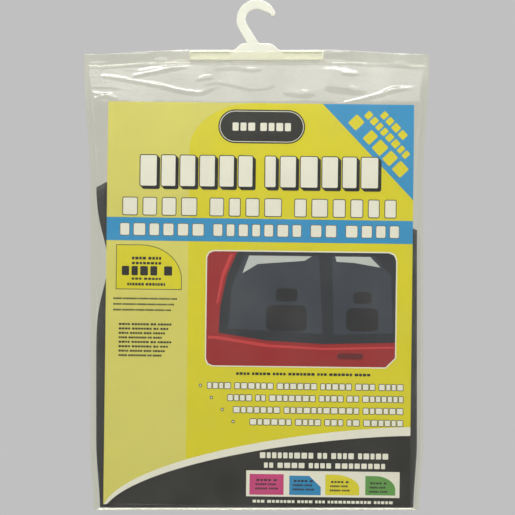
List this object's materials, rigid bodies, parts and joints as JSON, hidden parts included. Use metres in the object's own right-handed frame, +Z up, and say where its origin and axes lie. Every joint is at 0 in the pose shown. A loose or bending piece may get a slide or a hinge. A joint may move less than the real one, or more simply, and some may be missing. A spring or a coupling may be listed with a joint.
{
  "type": "window shade retail pack",
  "caption": "Hanging retail pack: two folded mesh car window shades behind a printed card, in a clear film bag whose top hem holds a moulded peg hanger.",
  "frame": {"origin": "where a display peg bears, at the inside top of the hanger's hook", "axes": "+Z up the hanging pack, -Y out of the printed card's face, +X to the right of someone who looks at the card"},
  "size_m": [0.2378, 0.0177, 0.3521],
  "materials": {
    "hanger": "moulded ivory plastic, satin",
    "film": "clear glossy plastic film with soft creases",
    "card": "coated card printed in yellow, blue and black",
    "mesh_cloth": "black stretch mesh, folded"
  },
  "bodies": {
    "root": {"hanger": "hanger", "film_bag": "film", "insert_card": "card", "folded_shade_1": "mesh_cloth", "folded_shade_2": "mesh_cloth"}
  },
  "joints": []
}
